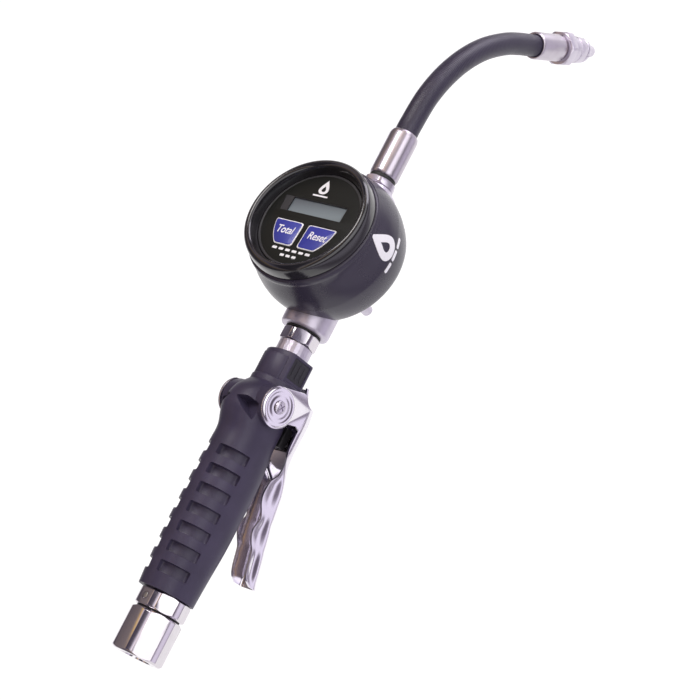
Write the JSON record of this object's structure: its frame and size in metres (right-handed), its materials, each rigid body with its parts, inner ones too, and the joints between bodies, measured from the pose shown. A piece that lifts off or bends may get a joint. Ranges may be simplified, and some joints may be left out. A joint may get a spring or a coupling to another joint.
{
  "type": "metered oil dispensing gun",
  "caption": "Hand-held oil dispensing gun: swivel inlet, lever valve in a moulded grip, digital oval-gear meter in a rubber boot, pre-bent hose and nozzle.",
  "frame": {"origin": "middle of the inlet nut's end face, where the supply hose screws in", "axes": "+X along the flow from inlet to outlet; +Z towards the palm side of the grip; the lever is on the -Z side"},
  "size_m": [0.5661, 0.1015, 0.204],
  "materials": {
    "zinc": "bright zinc plating",
    "chrome": "bright chrome plating",
    "cast_aluminium": "fine cast, slightly grainy",
    "steel": "plain machined steel",
    "brass": "plain",
    "grip_plastic": "satin moulded",
    "boot_rubber": "satin moulded rubber",
    "black_gloss": "glossy",
    "black_plastic": "matte",
    "hose_rubber": "fine cloth-wrapped rubber",
    "seal_rubber": "matte",
    "button_blue": "satin membrane",
    "display_glass": "clear",
    "gear_polymer": "moulded",
    "circuit_green": "solder mask",
    "battery_sleeve": "shrink sleeve"
  },
  "bodies": {
    "gun": {"adapter_hex": "zinc", "adapter_washer": "seal_rubber", "battery_1": "battery_sleeve", "battery_2": "battery_sleeve", "bezel": "black_gloss", "chamber_cover": "steel", "circuit_board": "circuit_green", "cover_screw_1": "steel", "cover_screw_2": "steel", "cover_screw_3": "steel", "cover_screw_4": "steel", "dial_face": "black_gloss", "display": "display_glass", "display_window": "display_glass", "extension_hose": "hose_rubber", "gear_post_1": "steel", "gear_post_2": "steel", "grip": "grip_plastic", "hose_ferrule": "zinc", "inlet_hex": "zinc", "inlet_strainer": "brass", "meter_housing": "cast_aluminium", "nozzle_body": "zinc", "nozzle_ferrule": "zinc", "nozzle_nut": "zinc", "outlet_fitting": "zinc", "outlet_seal": "seal_rubber", "pivot_screw_far": "zinc", "pivot_screw_near": "zinc", "race_plug": "steel", "race_ring": "steel", "register_case": "black_plastic", "rubber_boot": "boot_rubber", "spring_seat": "steel", "stem_guard": "black_plastic", "swivel_seal": "seal_rubber", "swivel_stem": "zinc", "valve_body": "cast_aluminium", "valve_seat": "brass", "valve_spring": "steel"},
    "swivel": {"swivel_nut": "zinc"},
    "lever": {"trigger_lever": "chrome", "pivot_bush_near": "brass", "pivot_bush_far": "brass"},
    "pin": {"push_pin": "steel"},
    "poppet": {"poppet": "steel", "poppet_seal": "seal_rubber"},
    "gear_one": {"oval_gear_1": "gear_polymer"},
    "gear_two": {"oval_gear_2": "gear_polymer"},
    "total_key": {"total_button": "button_blue"},
    "reset_key": {"reset_button": "button_blue"},
    "tip": {"nozzle_tip": "zinc"}
  },
  "joints": [
    {"name": "swivel_turn", "type": "hinge", "parent": "gun", "child": "swivel", "pos_m": [0, 0, 0], "axis": [1, 0, 0], "continuous": true},
    {"name": "lever_pull", "type": "hinge", "parent": "gun", "child": "lever", "pos_m": [0.1781, 0, 0.0076], "axis": [0, 1, 0], "range_deg": [0, 7], "stiffness_Nm_per_rad": 6, "springref_deg": -3.44},
    {"name": "pin_push", "type": "slide", "parent": "gun", "child": "pin", "axis": [0, 0, 1], "range_m": [0, 0.0014]},
    {"name": "poppet_open", "type": "slide", "parent": "gun", "child": "poppet", "axis": [-1, 0, 0], "range_m": [0, 0.0018]},
    {"name": "gear_one_spin", "type": "hinge", "parent": "gun", "child": "gear_one", "pos_m": [0.294, -0.01262, -0.00312], "axis": [0, -0.2402, 0.9707], "continuous": true},
    {"name": "gear_two_spin", "type": "hinge", "parent": "gun", "child": "gear_two", "pos_m": [0.294, 0.01262, 0.00312], "axis": [0, -0.2402, 0.9707], "continuous": true},
    {"name": "total_press", "type": "slide", "parent": "gun", "child": "total_key", "axis": [-0.0958, 0.2391, -0.9662], "range_m": [0, 0.0008], "stiffness_N_per_m": 900, "springref_m": -0.001},
    {"name": "reset_press", "type": "slide", "parent": "gun", "child": "reset_key", "axis": [-0.0958, 0.2391, -0.9662], "range_m": [0, 0.0008], "stiffness_N_per_m": 900, "springref_m": -0.001},
    {"name": "tip_twist", "type": "hinge", "parent": "gun", "child": "tip", "pos_m": [0.5232, 0.00927, -0.07553], "axis": [0.5446, 0.1022, -0.8324], "range_deg": [0, 90]}
  ],
  "couplings": [
    {"joint": "pin_push", "follows": "lever_pull", "m_per_rad": 0.0111},
    {"joint": "poppet_open", "follows": "lever_pull", "m_per_rad": 0.0147},
    {"joint": "gear_two_spin", "follows": "gear_one_spin", "ratio": -1}
  ]
}
